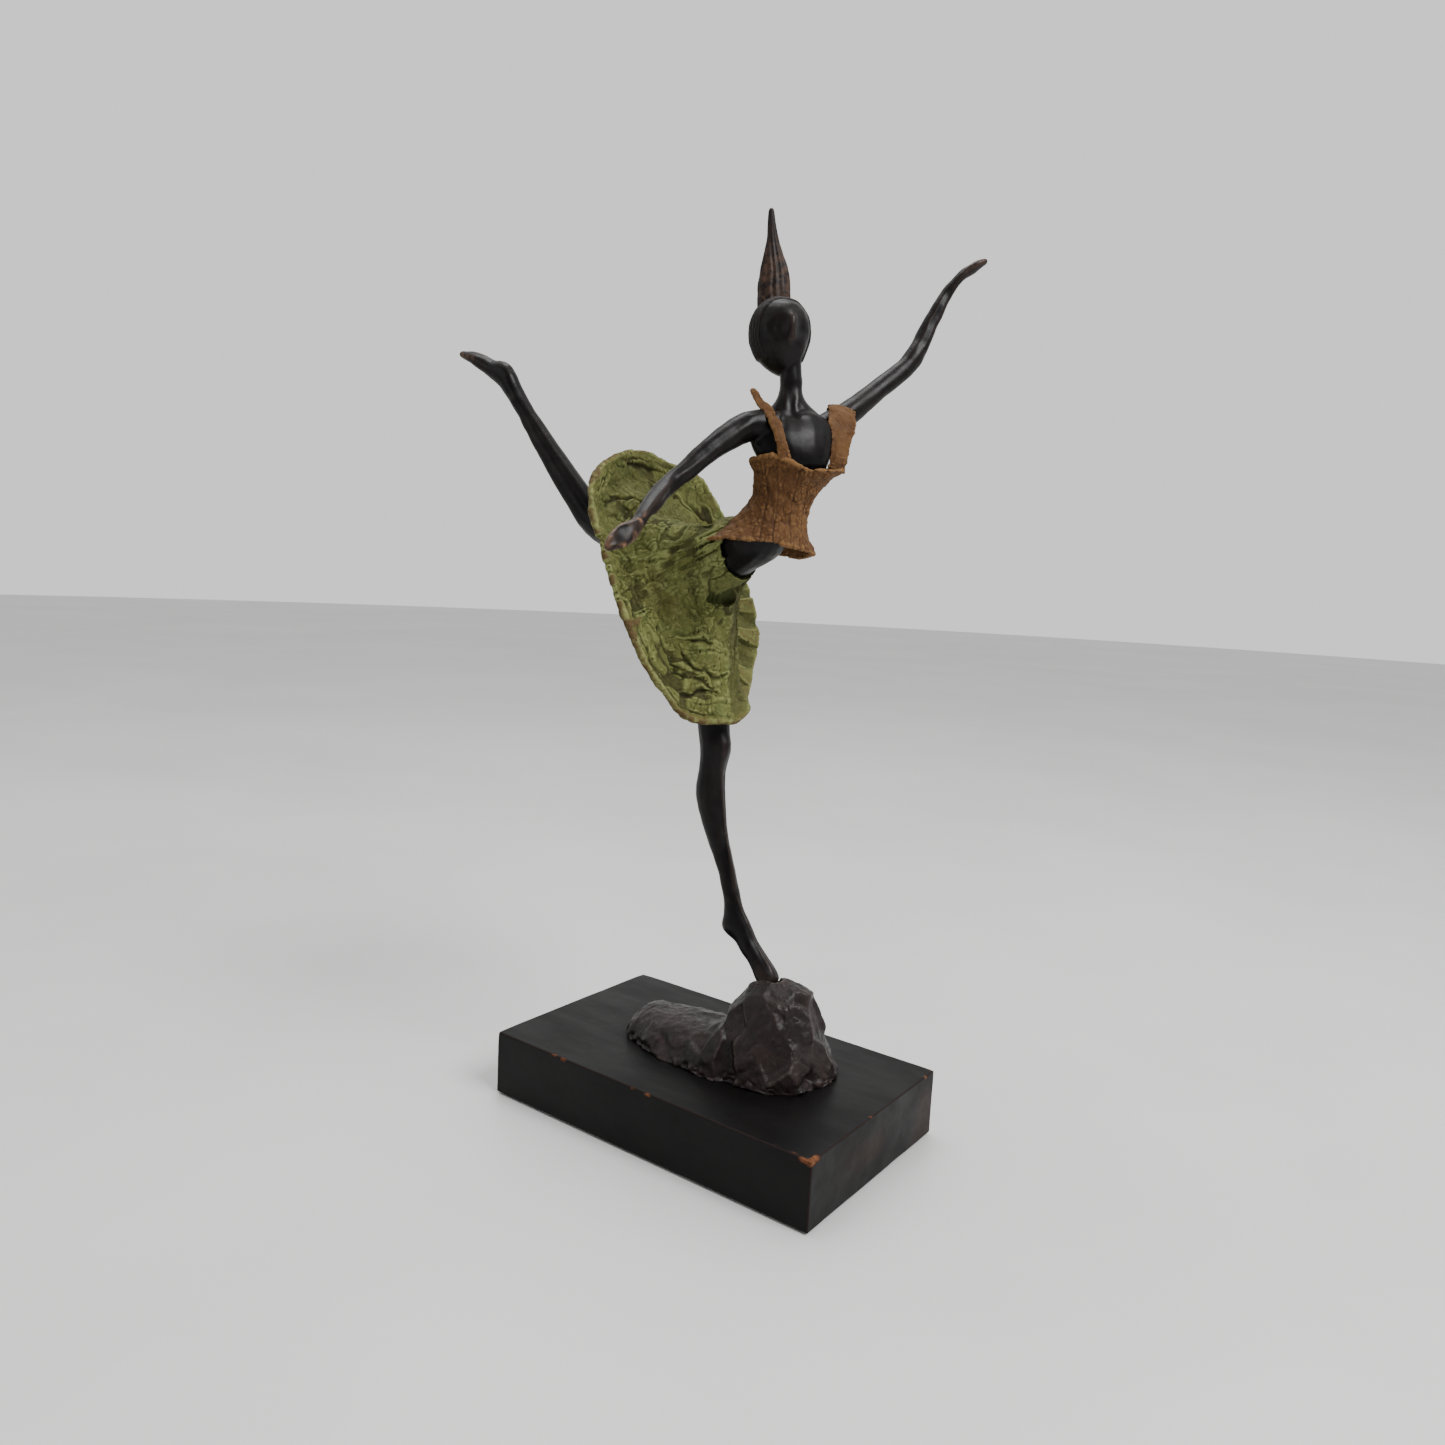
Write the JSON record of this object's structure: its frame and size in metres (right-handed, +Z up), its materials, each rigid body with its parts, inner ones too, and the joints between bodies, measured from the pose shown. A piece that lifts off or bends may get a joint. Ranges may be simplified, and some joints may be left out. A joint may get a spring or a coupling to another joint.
{
  "type": "bronze statuette",
  "caption": "Slender patinated bronze dancer in arabesque on a cast rock, fixed to a rectangular black wooden plinth.",
  "frame": {"origin": "centre of the underside of the felt under the plinth, on the surface that the statuette stands on", "axes": "+Z up; +X along the plinth's long side, the way the dancer faces; +Y towards the dancer's left, across the plinth"},
  "size_m": [0.2817, 0.2052, 0.4611],
  "materials": {
    "felt": "dark felt",
    "plinth_wood": "black satin paint, worn at the corners",
    "steel": "zinc-plated steel",
    "rock_bronze": "dark chocolate bronze, semi-gloss",
    "black_bronze": "near-black bronze patina, satin-gloss",
    "green_patina": "matt olive-green patina, wrinkled",
    "rust_patina": "matt rust-brown patina, cracked"
  },
  "bodies": {
    "root": {"felt_underlay": "felt", "plinth": "plinth_wood", "base_bolts": "steel", "base_washers": "steel", "rock_mount": "rock_bronze", "toe_pin": "steel", "standing_leg": "black_bronze", "raised_leg": "black_bronze", "hip_dowels": "steel", "torso": "black_bronze", "right_arm": "black_bronze", "left_arm": "black_bronze", "shoulder_dowels": "steel", "head": "black_bronze", "neck_dowel": "steel", "hair_plume": "black_bronze", "plume_tenon": "steel", "skirt": "green_patina", "bodice": "rust_patina", "right_strap": "rust_patina", "left_strap": "rust_patina"}
  },
  "joints": []
}
